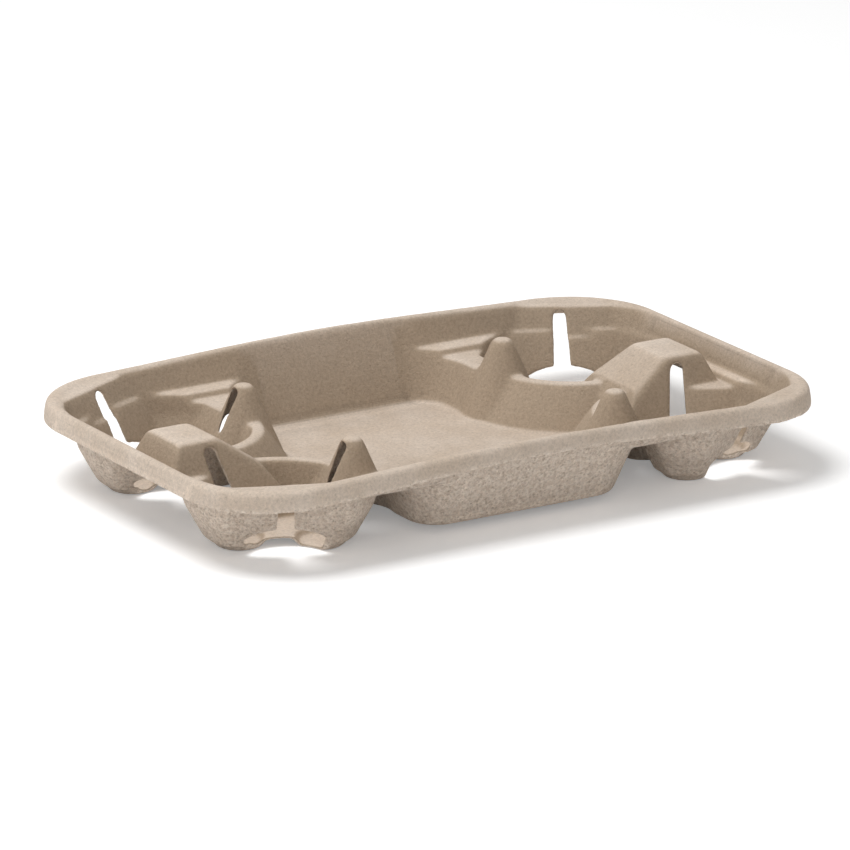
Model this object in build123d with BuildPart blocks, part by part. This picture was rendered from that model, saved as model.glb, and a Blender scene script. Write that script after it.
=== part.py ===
"""Moulded-fibre carrier for four cups, with a food compartment between the two pairs.

The carrier is one sheet of fibre of even thickness. It is drawn as the air above the sheet:
the food compartment, four cup cells and the shallow basin that joins them. The same air grown
by the wall, less the air itself, is the sheet. Slits and arches are then cut through it.
X runs along the carrier, Y across it, and Z = 0 is the table under the feet.
"""
from build123d import *
from math import atan, cos, degrees, hypot, radians, sin
import os

# Sheet and rim
wall = 2.0                  # thickness of the fibre
half_length = 200.0         # middle to the rim's outer edge, along X
half_width = 127.0          # middle to the rim's outer edge, along Y
corner_radius = 53.0        # rim corner, seen from above
crest_height = 48.0         # top of the rim over the table, at the ends
crest_rise = 5.5            # how much higher the rim arches at the middle of a long side
bead_width = 6.5            # raised bead around the rim
bead_depth = 1.2            # how far the shelf lies below the bead
bead_round = 3.2            # rounding of the bead's outer edge
shelf_inset = 23.0          # outer edge of the rim to a line just inside the shelf
skirt_height = 12.0         # turned-down skirt at the ends
skirt_lift = 2.0            # how much lower the skirt is at the middle of a long side
skirt_slope = 0.14          # outward flare of the skirt, mm for each mm down

# Walls that rise from the floors to the rim
draft = 0.43                # lean of the main walls, mm outwards for each mm up
rim_inset = 4.8             # outer edge of the rim to the top of the inner wall
side_inset = 8.6            # the same on the long sides beside the cells
basin_corner = 57.0         # corner of the inner wall at its top
ledge_height = 35.0         # narrow ledge at the foot of the rim's inner wall
ledge_drop = 4.0            # from that ledge down to the saddles between the pockets
ledge_end_inset = 15.3      # outer edge of the rim to the ledge's lower edge, at the ends
ledge_side_inset = 24.0     # the same on the long sides

# Food compartment
food_floor = 6.0            # top of its floor
food_half_length = 64.5     # half length of the floor beside the long walls
food_corner = 14.0          # corner of the floor
food_round = 5.0            # rounding between floor and walls

# Cup cells
cell_x = 134.0              # axis of each cell
cell_y = 60.0
seat_height = 6.0           # cup seat at the bottom of a cell
foot_bottom = 2.0           # inside bottom of the three feet under it
foot_reach = 26.0           # axis of a cell to the middle of a foot
foot_radius = 11.5
foot_slope = 0.8            # lean of a foot's side
lobe_round = 4.0            # rounding between a lobe and its bottom
lobe_radius = 39.0          # radius of the three lobes, at the table's height
lobe_slope = 0.54           # their lean below the crease
crease_height = 24.0        # where the lobes turn steeper
lobe_upper_slope = 0.22     # their lean above the crease
inner_lobe_slope = 0.20     # lean of the lobe that faces the food compartment
flat_inset = 26.0           # axis to the three flats that grip the cup, at the table's height
flat_slope = 0.50           # lean of the flats
corner_flat = 65.0          # heading of the flat that faces the carrier's corner, degrees from X
ridge_flat = -62.0          # heading of the flat on the ridge
horn_flat = 180.0           # heading of the flat on the horn
inside_horn = 4.0           # from there to the end of the food side's lobe, hidden in the horn
mound_radius = 69.5         # food side of a cell's wall, at the food floor
mound_slope = 0.70          # lean of that side

# Posts that stand between the pockets
horn_x = 87.0               # axis of a horn
horn_top_radius = 5.5
horn_slope = 0.43
horn_height = 50.5
horn_round = 4.0
ridge_height = 49.0
ridge_round = 5.0
ridge_near = 149.0          # the end ridge's plateau starts here
ridge_far = 174.0           # and ends here, short of the end wall
ridge_half_width = 18.0     # half its width at the top
ridge_foot_x = 125.0        # foot of its sloping front
ridge_foot_height = 33.0
ridge_side_slope = 0.42
ridge_front_slope = 0.70    # lean of its front below that foot
corner_reach = 137.4        # corner shelf's edge, out from the middle along its heading, at Z = 0
corner_slope = 0.55

# Slits and arches
slit_top = 44.4             # top of the corner and ridge slits
slit_wide = 10.0            # corner slit at its foot
slit_width = 7.0            # corner and ridge slits at their top
horn_slit_top = 48.5
horn_slit_width = 6.5
horn_slit_foot = 2.4        # its width at its lower end
horn_slit_end = 24.0        # height of its lower end, in the solid wall under the horn
arch_height = 15.4          # arch under the corner and ridge slits
arch_width = 56.0
arch_bite_radius = 25.0     # plan of the opening that such an arch bites out of the bottom
arch_bite_centre = 42.0

# Working sizes that follow from these
crest_top = crest_height + crest_rise
sky = crest_top + 12.0      # above everything
reach = half_length + 30.0  # beyond everything
saddle_height = ledge_height - ledge_drop
feet = (0, 120, 240)
cells = [(sx * cell_x, sy * cell_y, sx, sy) for sx in (1, -1) for sy in (1, -1)]


def lean(slope):
    """Angle of a wall from upright, in degrees."""
    return degrees(atan(slope))


def size(base, slope, z, grow=0.0):
    """Half size at height z of an outline that is base at Z = 0, grown square to its wall."""
    return base + slope * z + grow * hypot(1.0, slope)


def at_datum(value, z, slope=draft):
    """Half size at Z = 0 of an outline that is value at height z."""
    return value - slope * z


def arched(height, rise):
    """Everything below a surface that arches along X by the rise."""
    with BuildPart() as block:
        with BuildSketch(Plane.XZ.offset(-reach)):
            with BuildLine():
                Spline((-reach, height), (-half_length, height), (0, height + rise),
                       (half_length, height), (reach, height), tangents=[(1, 0)] * 5)
                Polyline((-reach, height), (-reach, -wall), (reach, -wall), (reach, height))
            make_face()
        extrude(amount=2 * reach)
    return block.part


def tapered(base_x, base_y, radius, low, high, slope=draft, grow=0.0, rounding=0.0):
    """Rounded rectangular pocket, wider at the top."""
    span_x = size(base_x, slope, low, grow)
    span_y = size(base_y, slope, low, grow)
    with BuildPart() as pocket:
        with BuildSketch(Plane.XY.offset(low)):
            RectangleRounded(2 * span_x, 2 * span_y, radius + slope * low + grow)
        extrude(amount=high - low, taper=-lean(slope))
        if rounding:
            fillet(pocket.faces().sort_by(Axis.Z)[0].edges(), rounding)
    return pocket.part


def polygon_pocket(points, low, high, slope):
    """Pocket with straight sides that all lean outwards alike."""
    with BuildPart() as pocket:
        with BuildSketch(Plane.XY.offset(low)):
            with BuildLine():
                Polyline(*points, close=True)
            make_face()
        extrude(amount=high - low, taper=-lean(slope))
    return pocket.part


def frustum(x, y, base, slope, low, high, grow=0.0, low_round=0.0, high_round=0.0):
    """Upright cone about a cell or a horn, its radius taken from the value at Z = 0."""
    with BuildPart() as cone:
        with BuildSketch(Plane.XY.offset(low)):
            with Locations((x, y)):
                Circle(size(base, slope, low, grow))
        extrude(amount=high - low, taper=-lean(slope))
        if low_round:
            fillet(cone.faces().sort_by(Axis.Z)[0].edges(), low_round)
        if high_round:
            fillet(cone.faces().sort_by(Axis.Z)[-1].edges(), high_round)
    return cone.part


def polar(distance, heading):
    return (distance * cos(radians(heading)), distance * sin(radians(heading)))


def facing(heading, sx, sy):
    """Heading of a flat in the cell of quadrant sx, sy."""
    turned = heading * sy
    return turned if sx > 0 else 180 - turned


def between(first, second, distance):
    """Corner where two flats at the same distance from the axis meet."""
    middle = (first + second) / 2
    return polar(distance / cos(radians((second - first) / 2)), middle)


def rhombus(low, high, grow):
    """Limits the basin by the edges of the four corner shelves."""
    out = size(corner_reach, corner_slope, low, grow)
    tip_x = out / cos(radians(corner_flat))
    tip_y = out / sin(radians(corner_flat))
    return polygon_pocket([(tip_x, 0), (0, tip_y), (-tip_x, 0), (0, -tip_y)], low, high, corner_slope)


def ridge(sx, grow):
    """Solid ridge between the two cells at one end, shrunk by grow."""
    top_z = ridge_height - grow
    half_top = ridge_half_width - hypot(1.0, ridge_side_slope) * grow
    half_base = half_top + ridge_side_slope * top_z
    far = ridge_far - hypot(1.0, draft) * grow
    rise = ridge_height - ridge_foot_height
    run = ridge_near - ridge_foot_x
    near = ridge_near + grow * (hypot(rise, run) - run) / rise
    foot = ridge_foot_x + hypot(1.0, ridge_front_slope) * grow
    with BuildPart() as post:
        with BuildSketch(Plane.XZ.offset(-half_width)):
            with BuildLine():
                Polyline(
                    (sx * (foot - ridge_front_slope * ridge_foot_height), 0),
                    (sx * foot, ridge_foot_height),
                    (sx * near, top_z),
                    (sx * far, top_z),
                    (sx * (far + draft * top_z), 0),
                    close=True,
                )
            make_face()
        extrude(amount=2 * half_width)
        with BuildSketch(Plane.YZ.offset(-reach)):
            with BuildLine():
                Polyline((-half_base, 0), (-half_top, top_z), (half_top, top_z), (half_base, 0), close=True)
            make_face()
        extrude(amount=2 * reach, mode=Mode.INTERSECT)
        upper = post.edges().filter_by_position(Axis.Z, ridge_foot_height + wall, sky)
        fillet(upper, ridge_round - grow)
    return post.part


def horn(x, y, grow):
    """Solid horn, a blunt cone, shrunk by grow."""
    base = horn_top_radius + horn_slope * horn_height
    return frustum(x, y, base, -horn_slope, 0, horn_height - grow, -grow,
                   high_round=0 if grow else horn_round)


def cell_outline(sx, sy, low, grow):
    """Corners of the three-sided outline that the flats make, for the cell in quadrant sx, sy."""
    out = size(flat_inset, flat_slope, low, grow)
    corners = [
        between(corner_flat, horn_flat, out),
        between(horn_flat, ridge_flat + 360, out),
        between(ridge_flat, corner_flat, out),
    ]
    return [(sx * (cell_x + x), sy * (cell_y + y)) for x, y in corners]


def food_side_wall(sx, sy, grow):
    """Keeps the lobe that faces the food compartment steeper than the other two."""
    x, y = sx * cell_x, sy * cell_y
    start = polar(reach, facing(horn_flat + inside_horn, sx, sy))
    finish = polar(reach, facing(ridge_flat, sx, sy))
    with BuildPart() as sector:
        with BuildSketch():
            with BuildLine():
                Polyline((x, y), (x + start[0], y + start[1]), (x + finish[0], y + finish[1]),
                         close=True)
            make_face()
        extrude(amount=ledge_height)
        add(frustum(x, y, lobe_radius, inner_lobe_slope, -wall, ledge_height, grow),
            mode=Mode.SUBTRACT)
    return sector.part


def below_seat(sx, sy, grow):
    """Fills a cell up to the seat, around its three feet."""
    x, y = sx * cell_x, sy * cell_y
    low = foot_bottom - grow
    seat = seat_height - grow
    with BuildPart() as slab:
        with BuildSketch(Plane.XY.offset(low)):
            with Locations((x, y)):
                Circle(reach)
        extrude(amount=seat - low)
        for turn in feet:
            away = polar(foot_reach, facing(turn, sx, sy))
            add(frustum(x + away[0], y + away[1], foot_radius - foot_slope * foot_bottom, foot_slope,
                        low, seat, grow), mode=Mode.SUBTRACT)
    return slab.part


def cell_air(sx, sy, grow):
    """Air in one cup cell, up to the ledge."""
    x, y = sx * cell_x, sy * cell_y
    low = foot_bottom - grow
    upper_base = lobe_radius + (lobe_slope - lobe_upper_slope) * crease_height
    food_side = food_side_wall(sx, sy, grow)
    seat = below_seat(sx, sy, grow)
    with BuildPart() as pocket:
        add(frustum(x, y, lobe_radius, lobe_slope, low, crease_height, grow, low_round=lobe_round + grow))
        add(frustum(x, y, upper_base, lobe_upper_slope, crease_height, ledge_height, grow))
        add(polygon_pocket(cell_outline(sx, sy, low, grow), low, ledge_height, flat_slope),
            mode=Mode.INTERSECT)
        add(food_side, mode=Mode.SUBTRACT)
        add(seat, mode=Mode.SUBTRACT)
    return pocket.part


def food_air(grow):
    """Air in the food compartment, with its bays between the cells."""
    low = food_floor - grow
    with BuildPart() as air:
        with BuildSketch(Plane.XY.offset(low)):
            Rectangle(2 * ridge_foot_x, 2 * cell_y)
        extrude(amount=saddle_height - low)
        for x, y, _, _ in cells:
            add(frustum(x, y, mound_radius + mound_slope * food_floor, -mound_slope, 0, saddle_height, -grow),
                mode=Mode.SUBTRACT)
        add(tapered(at_datum(food_half_length, food_floor),
                    at_datum(half_width - rim_inset, crest_top),
                    food_corner, low, sky, grow=grow, rounding=food_round))
    return air.part


def column(inset, low, high):
    """Everything inside a line that runs along the rim, between two heights."""
    with BuildPart() as block:
        with BuildSketch(Plane.XY.offset(low)):
            RectangleRounded(2 * (half_length - inset), 2 * (half_width - inset), corner_radius - inset)
        extrude(amount=high - low)
    return block.part


def shelf_air(grow):
    """Air above the shelf inside the bead, which follows the rim's arch, as far as the posts."""
    with BuildPart() as space:
        add(column(bead_width - grow, saddle_height, sky))
        add(column(shelf_inset, 0, reach), mode=Mode.SUBTRACT)
        add(arched(crest_height - bead_depth - grow, crest_rise), mode=Mode.SUBTRACT)
    return space.part


def air(grow):
    """All the air above the sheet, grown by grow."""
    ledge = ledge_height - grow
    saddle = saddle_height - grow
    with BuildPart() as space:
        add(tapered(at_datum(half_length - rim_inset, crest_height),
                    at_datum(half_width - side_inset, crest_height),
                    at_datum(basin_corner, crest_height), ledge, sky, grow=grow))
        add(tapered(at_datum(half_length - ledge_end_inset, ledge_height),
                    at_datum(half_width - ledge_side_inset, ledge_height),
                    corner_radius - ledge_side_inset, saddle, ledge_height, grow=grow))
        add(rhombus(saddle, sky, grow), mode=Mode.INTERSECT)
        add(food_air(grow))
        for _, _, sx, sy in cells:
            add(cell_air(sx, sy, grow))
        for _, y, sx, _ in cells:
            add(horn(sx * horn_x, y, grow), mode=Mode.SUBTRACT)
        for sx in (1, -1):
            add(ridge(sx, grow), mode=Mode.SUBTRACT)
        add(shelf_air(grow))
    return space.part


def cap(inset):
    """Solid under the rim, with its flared side, inset by the wall for the inside."""
    spread = skirt_slope * crest_height - inset * hypot(1.0, skirt_slope)
    with BuildPart() as block:
        with BuildSketch():
            RectangleRounded(2 * (half_length + spread), 2 * (half_width + spread),
                             corner_radius + spread)
        extrude(amount=sky, taper=lean(skirt_slope))
        add(arched(crest_height - inset, crest_rise), mode=Mode.INTERSECT)
        rim_edges = block.faces().sort_by(Axis.Z)[-1].outer_wire().edges()
        fillet(rim_edges, bead_round - inset)
    return block.part


def slot(heading, near, far, low, high, foot_width, top_width):
    """Upright slot out from a cell's axis, with a round top."""
    plane = Plane(origin=(*polar(near, heading), 0), x_dir=(*polar(1, heading + 90), 0),
                  z_dir=(*polar(1, heading), 0))
    with BuildPart() as cutter:
        with BuildSketch(plane):
            with BuildLine():
                Polyline((-top_width / 2, high - top_width / 2), (-foot_width / 2, low),
                         (foot_width / 2, low), (top_width / 2, high - top_width / 2))
                ThreePointArc((top_width / 2, high - top_width / 2), (0, high),
                              (-top_width / 2, high - top_width / 2))
            make_face()
        extrude(amount=far - near)
    return cutter.part


def arch(heading):
    """Opening under a slit, through the wall and into the bottom."""
    plane = Plane(origin=(*polar(1, heading), 0), x_dir=(*polar(1, heading + 90), 0),
                  z_dir=(*polar(1, heading), 0))
    with BuildPart() as cutter:
        with BuildSketch(plane):
            Ellipse(arch_width / 2, arch_height)
        extrude(amount=arch_bite_centre + arch_bite_radius)
        with BuildSketch(Plane.XY.offset(-arch_height - wall)):
            with Locations(polar(arch_bite_centre, heading)):
                Circle(arch_bite_radius)
        extrude(amount=2 * (arch_height + wall), mode=Mode.INTERSECT)
    return cutter.part


def cell_cuts(sx, sy):
    """Slits and arches of one cell, each in its place."""
    middle_of_arch = arch_height / 2
    past_flat = size(flat_inset, flat_slope, slit_top) + 4 * wall
    cuts = [slot(facing(horn_flat, sx, sy), flat_inset - 4 * wall, cell_x - horn_x - wall / 2,
                 horn_slit_end, horn_slit_top, horn_slit_foot, horn_slit_width)]
    for heading in (corner_flat, ridge_flat):
        cuts.append(arch(facing(heading, sx, sy)))
        cuts.append(slot(facing(heading, sx, sy), flat_inset - 2 * wall, past_flat, middle_of_arch,
                         slit_top, slit_wide, slit_width))
    return [cut.moved(Location((sx * cell_x, sy * cell_y, 0))) for cut in cuts]


with BuildPart() as pockets:
    add(cap(0.0))
    add(column(2 * bead_width, saddle_height, sky - wall))
    add(air(wall), mode=Mode.INTERSECT)

with BuildPart() as carrier_tray:
    add(cap(0.0))
    add(cap(wall), mode=Mode.SUBTRACT)
    add(arched(crest_height - skirt_height, crest_rise + skirt_lift), mode=Mode.SUBTRACT)
    add(pockets.part)
    add(air(0.0), mode=Mode.SUBTRACT)
    for _, _, sx, sy in cells:
        for cut in cell_cuts(sx, sy):
            add(cut, mode=Mode.SUBTRACT)

carrier_tray.part.label = "carrier_tray"
os.makedirs("parts", exist_ok=True)
export_step(carrier_tray.part, "parts/carrier_tray.step")
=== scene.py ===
"""Looks of the moulded-fibre carrier: soft pulp surfaces, plain floor, soft light, the photo's camera."""

import bmesh
import bpy
import numpy as np
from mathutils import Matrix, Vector


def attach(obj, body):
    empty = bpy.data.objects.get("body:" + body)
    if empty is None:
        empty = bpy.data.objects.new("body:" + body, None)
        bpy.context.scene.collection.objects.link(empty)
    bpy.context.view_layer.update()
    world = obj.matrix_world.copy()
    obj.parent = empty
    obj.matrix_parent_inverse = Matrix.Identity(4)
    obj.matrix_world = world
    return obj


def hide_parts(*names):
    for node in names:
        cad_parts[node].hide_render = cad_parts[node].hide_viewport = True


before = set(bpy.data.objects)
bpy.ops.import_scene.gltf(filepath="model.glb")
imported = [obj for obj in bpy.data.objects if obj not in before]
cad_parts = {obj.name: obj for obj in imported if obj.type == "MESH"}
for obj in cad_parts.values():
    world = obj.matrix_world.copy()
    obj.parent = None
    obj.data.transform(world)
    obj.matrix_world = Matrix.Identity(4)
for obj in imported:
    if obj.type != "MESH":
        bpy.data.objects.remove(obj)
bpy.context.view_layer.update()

# Sheet, in metres
VOXEL = 0.00065               # spacing of the reworked surface's points
MERGE_DISTANCE = 1e-6         # points of the CAD mesh that are one
FIRST_ROUNDS = 12             # smoothing of every point
SOFT_ROUNDS = 22              # smoothing of all but the free edges
ROUND_STEP = 0.5              # share of the way to its neighbours that a point moves in a round
SPREAD_ROUNDS = 9             # how far a free edge is felt
EDGE_SHARE = 0.2              # share of the later smoothing that a free edge still gets
EDGE_SHARP, EDGE_FLAT = 0.62, 0.90    # length of the averaged normal at a free edge, and away from one
TRIANGLES = 190000

# What the attributes of the sheet's points are made of
SIDE_BLEND = 4.0              # how fast a point's normal turns it from the smooth side to the rough one
WALL_STARTS, WALL_FULL = 0.96, 0.66   # upward part of the normal where the painted wall shade sets in
RIM_HALF = (0.200, 0.127)     # half sizes of the rim, whose skirt is left without the painted wall shade
RIM_CORNER = 0.053            # and its corner radius
RIM_KEEPS, RIM_ENDS = 0.0045, 0.0085  # from the rim's edge inwards, where the painted wall shade sets in
CREASE_ROUNDS = 3             # how far around a point its crease is measured
CREASE_FULL = 0.0007          # depth of a full crease

# Fibre, linear colours
FIBRE_LIGHT = (0.680, 0.575, 0.480)
FIBRE_DARK = (0.610, 0.500, 0.400)
# painted shade: the darker, browner colour of steep walls
FIBRE_WALL_SHADE = (0.420, 0.325, 0.235)
# the rough side's colour: its own paler fibre, made paler still as painted light from the floor's bounce
FIBRE_ROUGH_AND_BOUNCE_LIGHT = (0.860, 0.745, 0.635)
FIBRE_HOLLOW = (0.680, 0.555, 0.450)
FIBRE_SPECK = (0.330, 0.235, 0.155)

# Fibre's patterns, as noise scales and as the shares in which they show
CLOUD_SCALE = 30.0
GRAIN_SCALE = 620.0
CLUMP_SCALE = 420.0
PIT_SCALE = 700.0
# how much of the painted wall shade shows
WALL_SHADE_SHARE = 0.9
PIT_SHARE = 0.5
SPECK_SHARE = 0.45
GRAIN_CONTRAST = 0.16
# strength of the painted shade in creases and the painted highlight on ridges
CREASE_SHADE_CONTRAST = 0.22
GRAIN_RELIEF = -1.1
CLUMP_RELIEF = 0.35           # on the smooth side
CLUMP_RELIEF_ROUGH = 2.2      # and how much more on the rough side
PIT_RELIEF = -0.9
RELIEF_DEPTH = 0.0009
RELIEF_STRENGTH = 0.7
FIBRE_ROUGHNESS = 0.9
FIBRE_GLOSS = 0.2

# Floor and light
FLOOR_SIZE = 30.0
FLOOR_TONE = 0.92
FLOOR_GLOW = 0.22             # what a camera sees on top of the lit floor
LAMP_SIZE = 1.5
OVERHEAD_PLACE, OVERHEAD_POWER = (-0.7, 0.5, 2.4), 46.0
FRONT_PLACE, FRONT_POWER = (-1.6, -2.2, 1.0), 9.0
WORLD_LIGHT = 0.38

# The photo's camera
CAMERA_PLACE = (-2.1824, -3.5520, 1.3197)
CAMERA_AIM = (0.4991, 0.8123, -0.3018)
CAMERA_LENS = 324.745
CAMERA_SENSOR = 36.0
CAMERA_SHIFT = (-0.0044, 0.0541)
CAMERA_CLIP = (0.1, 100.0)


def point_places(mesh):
    places = np.empty(3 * len(mesh.vertices))
    mesh.vertices.foreach_get("co", places)
    return places.reshape(-1, 3)


def point_normals(mesh):
    normals = np.empty(3 * len(mesh.vertices))
    mesh.vertex_normals.foreach_get("vector", normals)
    return normals.reshape(-1, 3)


def edge_points(mesh):
    """Both points of each edge, and each point's number of edges."""
    edges = np.empty(2 * len(mesh.edges), dtype=np.int64)
    mesh.edges.foreach_get("vertices", edges)
    degree = np.maximum(np.bincount(edges, minlength=len(mesh.vertices)), 1)
    return edges.reshape(-1, 2), degree


def neighbour_average(values, edges, degree):
    """Mean of each point's neighbours, column by column."""
    first, second = edges[:, 0], edges[:, 1]
    count = len(degree)
    columns = []
    for axis in range(values.shape[1]):
        column = values[:, axis]
        total = np.bincount(first, column[second], count) + np.bincount(second, column[first], count)
        columns.append(total / degree)
    return np.stack(columns, axis=1)


def soften(mesh):
    """Smooths a thin sheet strongly, but its free edges only a little."""
    edges, degree = edge_points(mesh)
    places = point_places(mesh)
    spread = point_normals(mesh)
    for _ in range(SPREAD_ROUNDS):
        spread = neighbour_average(spread, edges, degree)
    flatness = np.linalg.norm(spread, axis=1)
    weight = np.clip((flatness - EDGE_SHARP) / (EDGE_FLAT - EDGE_SHARP), EDGE_SHARE, 1)[:, None]
    for _ in range(FIRST_ROUNDS):
        places = places + ROUND_STEP * (neighbour_average(places, edges, degree) - places)
    for _ in range(SOFT_ROUNDS):
        places = places + ROUND_STEP * weight * (neighbour_average(places, edges, degree) - places)
    mesh.vertices.foreach_set("co", places.ravel())
    mesh.update()


def applied(piece):
    """Gives the piece the mesh that its modifiers make."""
    evaluated = piece.evaluated_get(bpy.context.evaluated_depsgraph_get())
    made = bpy.data.meshes.new_from_object(evaluated)
    piece.modifiers.clear()
    piece.data = made


def triangle_count(mesh):
    return sum(len(polygon.vertices) - 2 for polygon in mesh.polygons)


def soft_sheet(source):
    """A finer copy of the CAD sheet, softened as pulp comes off its mould."""
    mesh = source.data.copy()
    mesh.materials.clear()
    piece = bpy.data.objects.new("fibre_sheet", mesh)
    bpy.context.scene.collection.objects.link(piece)
    work = bmesh.new()
    work.from_mesh(mesh)
    bmesh.ops.remove_doubles(work, verts=work.verts, dist=MERGE_DISTANCE)
    bmesh.ops.recalc_face_normals(work, faces=work.faces)
    work.to_mesh(mesh)
    work.free()
    remesh = piece.modifiers.new("remesh", "REMESH")
    remesh.mode = "VOXEL"
    remesh.voxel_size = VOXEL
    applied(piece)
    soften(piece.data)
    thin = piece.modifiers.new("thin", "DECIMATE")
    thin.ratio = min(1.0, TRIANGLES / triangle_count(piece.data))
    applied(piece)
    for polygon in piece.data.polygons:
        polygon.use_smooth = True
    print("sheet triangles", triangle_count(piece.data))
    return piece


def store(mesh, name, values):
    """Keeps one value for each point, for the material to read."""
    attribute = mesh.attributes.new(name, "FLOAT", "POINT")
    attribute.data.foreach_set("value", values)


def mark_sides(mesh):
    """Stores the side of the sheet, 0 smooth to 1 rough, and how steep its smooth side is, 0 to 1, which sets
    its painted wall shade.
    """
    upward = point_normals(mesh)[:, 2]
    store(mesh, "under_side", np.clip(0.5 - upward * SIDE_BLEND, 0, 1))
    past_corner = np.maximum(np.abs(point_places(mesh)[:, :2]) - (np.array(RIM_HALF) - RIM_CORNER), 0)
    inwards = RIM_CORNER - np.hypot(past_corner[:, 0], past_corner[:, 1])
    within = np.clip((inwards - RIM_KEEPS) / (RIM_ENDS - RIM_KEEPS), 0, 1)
    # painted shade: steep faces, away from the rim's skirt, get a darker, browner colour
    wall = np.clip((WALL_STARTS - upward) / (WALL_STARTS - WALL_FULL), 0, 1)
    store(mesh, "steep", wall * within)


def mark_creases(mesh):
    """Stores how far each point lies in a crease, 1, or on a ridge, -1, for the painted crease shade and
    ridge highlight.
    """
    edges, degree = edge_points(mesh)
    places = point_places(mesh)
    around = places
    for _ in range(CREASE_ROUNDS):
        around = neighbour_average(around, edges, degree)
    depth = ((around - places) * point_normals(mesh)).sum(axis=1)
    store(mesh, "crease_depth", np.clip(depth / CREASE_FULL, -1, 1))


def add(tree, kind, **settings):
    """Adds a shader node and sets its sockets and settings by name."""
    made = tree.nodes.new(kind)
    for name, value in settings.items():
        socket = made.inputs.get(name.replace("_", " "))
        if socket is None:
            setattr(made, name, value)
        else:
            socket.default_value = value
    return made


def noise(tree, place, scale, detail=3.0, roughness=0.6):
    made = add(tree, "ShaderNodeTexNoise", Scale=scale, Detail=detail, Roughness=roughness)
    tree.links.new(place, made.inputs["Vector"])
    return made.outputs["Fac"]


def span(tree, value, low, high, to_low=0.0, to_high=1.0):
    made = add(tree, "ShaderNodeMapRange", From_Min=low, From_Max=high, To_Min=to_low, To_Max=to_high)
    tree.links.new(value, made.inputs["Value"])
    return made.outputs["Result"]


def maths(tree, operation, first, second):
    made = add(tree, "ShaderNodeMath", operation=operation)
    for socket, value in zip(made.inputs, (first, second)):
        if isinstance(value, (int, float)):
            socket.default_value = value
        else:
            tree.links.new(value, socket)
    return made.outputs["Value"]


def mixed(tree, factor, first, second):
    """Blends two colours, each a tuple or a socket."""
    made = add(tree, "ShaderNodeMix", data_type="RGBA")
    tree.links.new(factor, made.inputs["Factor"])
    for socket, value in ((made.inputs["A"], first), (made.inputs["B"], second)):
        if isinstance(value, tuple):
            socket.default_value = (*value, 1)
        else:
            tree.links.new(value, socket)
    return made.outputs["Result"]


def point_value(tree, name):
    return add(tree, "ShaderNodeAttribute", attribute_name=name).outputs["Fac"]


def fibre_colour(tree, place, under, grain, clump, pits):
    """Painted shade on steep walls, a rough side made paler partly by painted floor-bounce light, mottling,
    dark specks, and painted highlight on ridges with painted shade in creases.
    """
    cloud = span(tree, noise(tree, place, CLOUD_SCALE), 0.35, 0.65)
    smooth = mixed(tree, cloud, FIBRE_DARK, FIBRE_LIGHT)
    # painted shade on steep walls
    smooth = mixed(tree, maths(tree, "MULTIPLY", point_value(tree, "steep"), WALL_SHADE_SHARE), smooth, FIBRE_WALL_SHADE)
    # rough side: its own fibre tone, partly painted light from the floor's bounce
    rough = mixed(tree, span(tree, clump, 0.40, 0.62), FIBRE_ROUGH_AND_BOUNCE_LIGHT, FIBRE_HOLLOW)
    rough = mixed(tree, span(tree, pits, 0.57, 0.70, 0.0, PIT_SHARE), rough, FIBRE_SPECK)
    colour = mixed(tree, under, smooth, rough)
    colour = mixed(tree, span(tree, grain, 0.60, 0.76, 0.0, SPECK_SHARE), colour, FIBRE_SPECK)
    # painted shade in creases, painted highlight on ridges
    crease_shade_and_highlight = span(tree, point_value(tree, "crease_depth"), -1.0, 1.0,
                       1 + CREASE_SHADE_CONTRAST, 1 - CREASE_SHADE_CONTRAST)
    grain_tone = span(tree, grain, 0.34, 0.66, 1 + GRAIN_CONTRAST, 1 - GRAIN_CONTRAST)
    shade = add(tree, "ShaderNodeVectorMath", operation="SCALE")
    tree.links.new(colour, shade.inputs["Vector"])
    tree.links.new(maths(tree, "MULTIPLY", grain_tone, crease_shade_and_highlight), shade.inputs["Scale"])
    return shade.outputs["Vector"]


def fibre_relief(tree, under, grain, clump, pits):
    """Fine grain on both sides, with clumps and pits that are deeper on the rough side."""
    fine = maths(tree, "MULTIPLY", grain, GRAIN_RELIEF)
    depth = maths(tree, "ADD", maths(tree, "MULTIPLY", under, CLUMP_RELIEF_ROUGH), CLUMP_RELIEF)
    coarse = maths(tree, "MULTIPLY", clump, maths(tree, "MULTIPLY", depth, -1.0))
    hollow = maths(tree, "MULTIPLY", span(tree, pits, 0.54, 0.64), maths(tree, "MULTIPLY", under, PIT_RELIEF))
    height = maths(tree, "ADD", maths(tree, "ADD", fine, coarse), hollow)
    bump = add(tree, "ShaderNodeBump", Strength=RELIEF_STRENGTH, Distance=RELIEF_DEPTH)
    tree.links.new(height, bump.inputs["Height"])
    return bump.outputs["Normal"]


def fibre_material():
    """Matte pulp: fine grain on the mould side, coarser pitted grain on the other."""
    material = bpy.data.materials.new("moulded_fibre")
    material.use_nodes = True
    tree = material.node_tree
    shader = tree.nodes["Principled BSDF"]
    shader.inputs["Roughness"].default_value = FIBRE_ROUGHNESS
    shader.inputs["Specular IOR Level"].default_value = FIBRE_GLOSS
    place = add(tree, "ShaderNodeTexCoord").outputs["Object"]
    under = point_value(tree, "under_side")
    grain = noise(tree, place, GRAIN_SCALE, 5.0, 0.8)
    clump = noise(tree, place, CLUMP_SCALE, 4.0, 0.65)
    pits = noise(tree, place, PIT_SCALE, 2.0, 0.6)
    tree.links.new(fibre_colour(tree, place, under, grain, clump, pits), shader.inputs["Base Color"])
    tree.links.new(fibre_relief(tree, under, grain, clump, pits), shader.inputs["Normal"])
    return material


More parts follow.
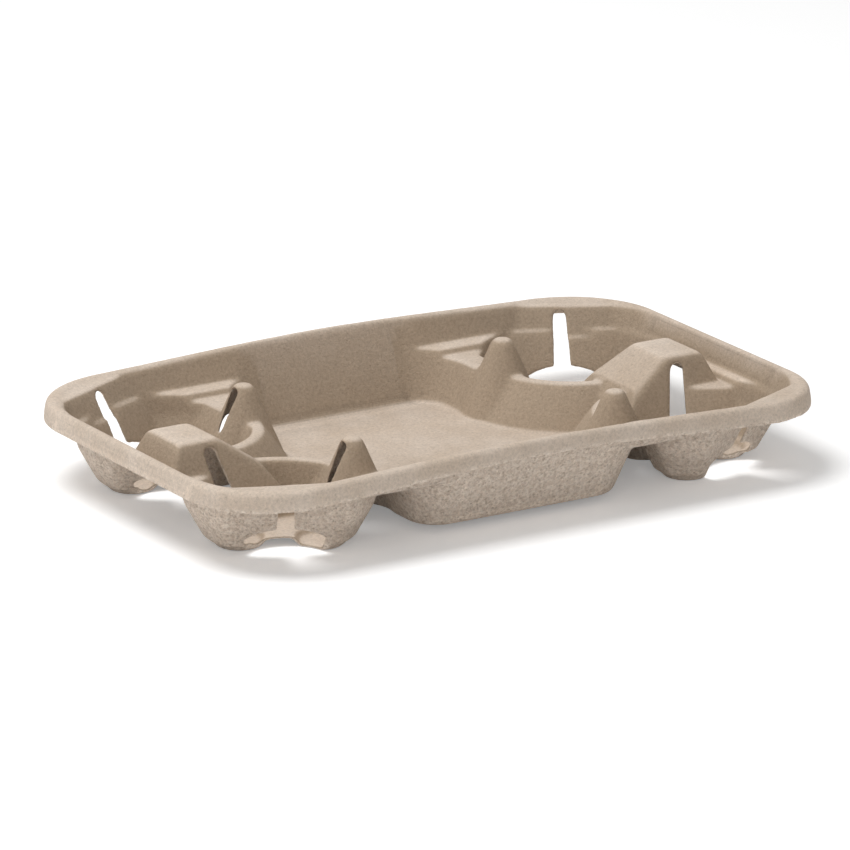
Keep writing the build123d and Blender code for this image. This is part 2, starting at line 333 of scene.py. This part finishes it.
def pale_floor():
    """A pale floor that a camera sees as white, and that keeps the object's shadow."""
    mesh = bpy.data.meshes.new("floor")
    work = bmesh.new()
    bmesh.ops.create_grid(work, x_segments=1, y_segments=1, size=FLOOR_SIZE)
    work.to_mesh(mesh)
    work.free()
    piece = bpy.data.objects.new("floor", mesh)
    bpy.context.scene.collection.objects.link(piece)
    material = bpy.data.materials.new("floor")
    material.use_nodes = True
    tree = material.node_tree
    shader = tree.nodes["Principled BSDF"]
    shader.inputs["Roughness"].default_value = 1.0
    shader.inputs["Specular IOR Level"].default_value = 0.0
    shader.inputs["Base Color"].default_value = (FLOOR_TONE, FLOOR_TONE, FLOOR_TONE, 1)
    rays = add(tree, "ShaderNodeLightPath")
    seen = maths(tree, "MAXIMUM", rays.outputs["Is Camera Ray"],
                 maths(tree, "MAXIMUM", rays.outputs["Is Glossy Ray"], rays.outputs["Is Transmission Ray"]))
    shader.inputs["Emission Color"].default_value = (1, 1, 1, 1)
    tree.links.new(maths(tree, "MULTIPLY", seen, FLOOR_GLOW), shader.inputs["Emission Strength"])
    mesh.materials.append(material)
    return piece


def disk_lamp(name, place, power):
    """A round lamp aimed at the object."""
    lamp_data = bpy.data.lights.new(name, "AREA")
    lamp_data.shape = "DISK"
    lamp_data.size = LAMP_SIZE
    lamp_data.energy = power
    lamp = bpy.data.objects.new(name, lamp_data)
    bpy.context.scene.collection.objects.link(lamp)
    lamp.location = place
    lamp.rotation_mode = "QUATERNION"
    lamp.rotation_quaternion = (-Vector(place)).to_track_quat("-Z", "Y")


def studio_world():
    world = bpy.data.worlds.new("studio")
    world.use_nodes = True
    background = world.node_tree.nodes["Background"]
    background.inputs["Color"].default_value = (1, 1, 1, 1)
    background.inputs["Strength"].default_value = WORLD_LIGHT
    return world


def photo_camera():
    """The camera at the photo's viewing angle."""
    camera_data = bpy.data.cameras.new("camera")
    camera_data.sensor_width = CAMERA_SENSOR
    camera_data.lens = CAMERA_LENS
    camera_data.shift_x, camera_data.shift_y = CAMERA_SHIFT
    camera_data.clip_start, camera_data.clip_end = CAMERA_CLIP
    camera = bpy.data.objects.new("camera", camera_data)
    bpy.context.scene.collection.objects.link(camera)
    camera.location = CAMERA_PLACE
    camera.rotation_mode = "QUATERNION"
    camera.rotation_quaternion = Vector(CAMERA_AIM).to_track_quat("-Z", "Y")
    return camera


sheet = soft_sheet(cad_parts["carrier_tray"])
mark_sides(sheet.data)
mark_creases(sheet.data)
sheet.data.materials.append(fibre_material())
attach(sheet, "root")
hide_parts("carrier_tray")

pale_floor()
disk_lamp("overhead", OVERHEAD_PLACE, OVERHEAD_POWER)
disk_lamp("front", FRONT_PLACE, FRONT_POWER)
scene = bpy.context.scene
scene.world = studio_world()
scene.view_settings.view_transform = "Standard"
scene.camera = photo_camera()
